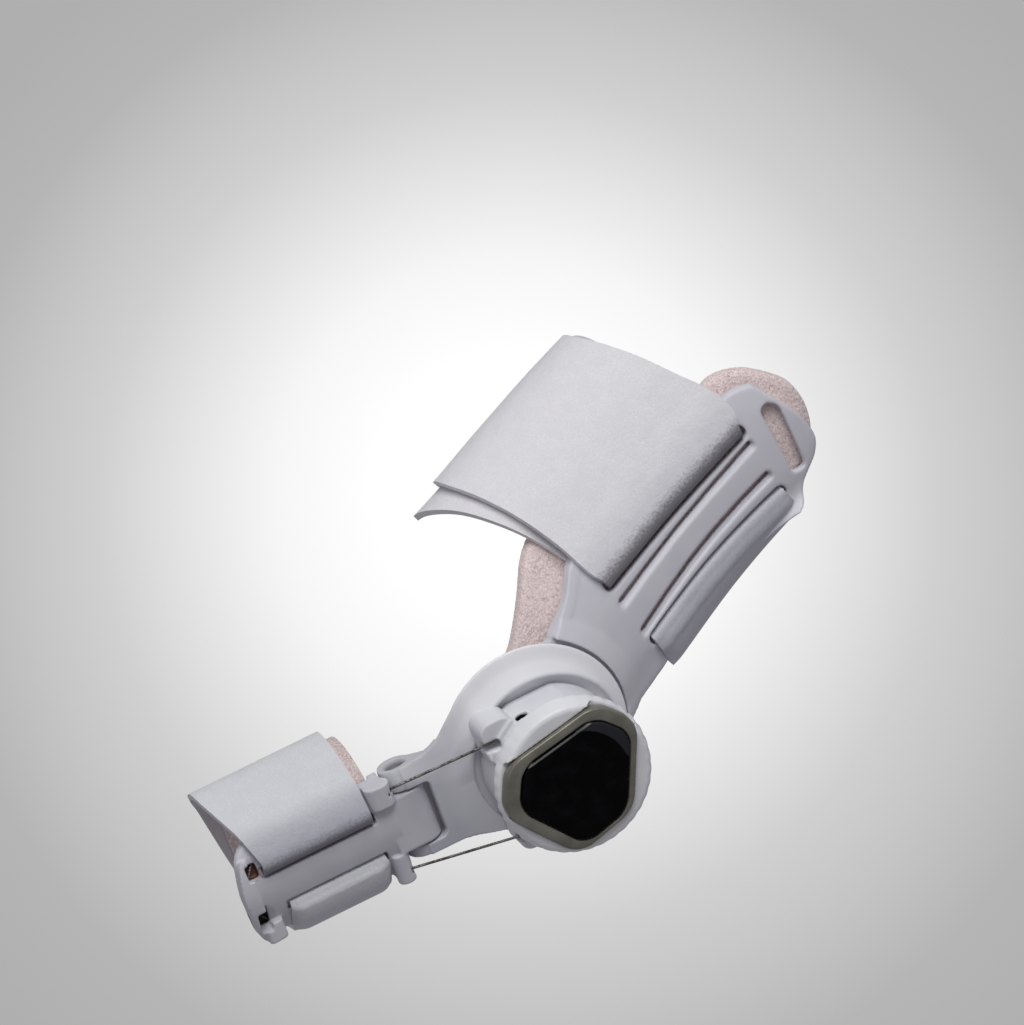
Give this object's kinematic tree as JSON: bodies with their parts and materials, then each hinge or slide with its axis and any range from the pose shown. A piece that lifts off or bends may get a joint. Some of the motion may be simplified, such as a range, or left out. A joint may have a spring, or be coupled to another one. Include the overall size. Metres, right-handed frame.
{
  "type": "bunion corrector",
  "caption": "Hinged bunion corrector: a strapped midfoot plate, a link with a dial, and a strapped toe plate that a thin cable pulls outward.",
  "frame": {"origin": "middle of the hollow for the midfoot, inside the midfoot strap", "axes": "+X from the toes to the heel along the hinge link, -Y outward from the inner side of the foot, +Z to the top of the foot"},
  "size_m": [0.1774, 0.1222, 0.0887],
  "materials": {
    "plate": "satin moulded plastic, cool grey",
    "link": "satin moulded plastic, light cool grey",
    "toe_plate": "satin moulded plastic, cool grey",
    "dial": "satin moulded plastic, white",
    "bezel": "satin plastic, olive grey",
    "insert": "polished black plastic",
    "strap": "brushed loop fabric, cool white",
    "lining": "short terry, pinkish grey",
    "pin": "plain moulded plastic",
    "cable": "thin twisted steel wire, dark"
  },
  "bodies": {
    "foot_side": {"foot_plate": "plate", "foot_pad": "lining", "foot_strap": "strap", "pivot_rivet": "pin"},
    "link": {"hinge_link": "link", "dial_housing": "dial", "toe_pin": "pin", "cable_upper": "cable", "cable_lower": "cable"},
    "dial": {"dial_ring": "dial", "dial_bezel": "bezel", "dial_insert": "insert"},
    "toe_side": {"toe_plate": "toe_plate", "toe_lining": "lining", "toe_strap": "strap", "cable_loop": "cable"}
  },
  "joints": [
    {"name": "flexion_hinge", "type": "hinge", "parent": "foot_side", "child": "link", "pos_m": [-0.05296, -0.05947, -0.02956], "axis": [0, 1, 0], "range_deg": [-20, 30]},
    {"name": "toe_hinge", "type": "hinge", "parent": "link", "child": "toe_side", "pos_m": [-0.08696, -0.05447, -0.03281], "axis": [0, 0, 1], "range_deg": [-10, 15], "deforming": ["cable_upper", "cable_lower"]},
    {"name": "dial_turn", "type": "hinge", "parent": "link", "child": "dial", "pos_m": [-0.05156, -0.07947, -0.03346], "axis": [0, 1, 0], "continuous": true}
  ]
}
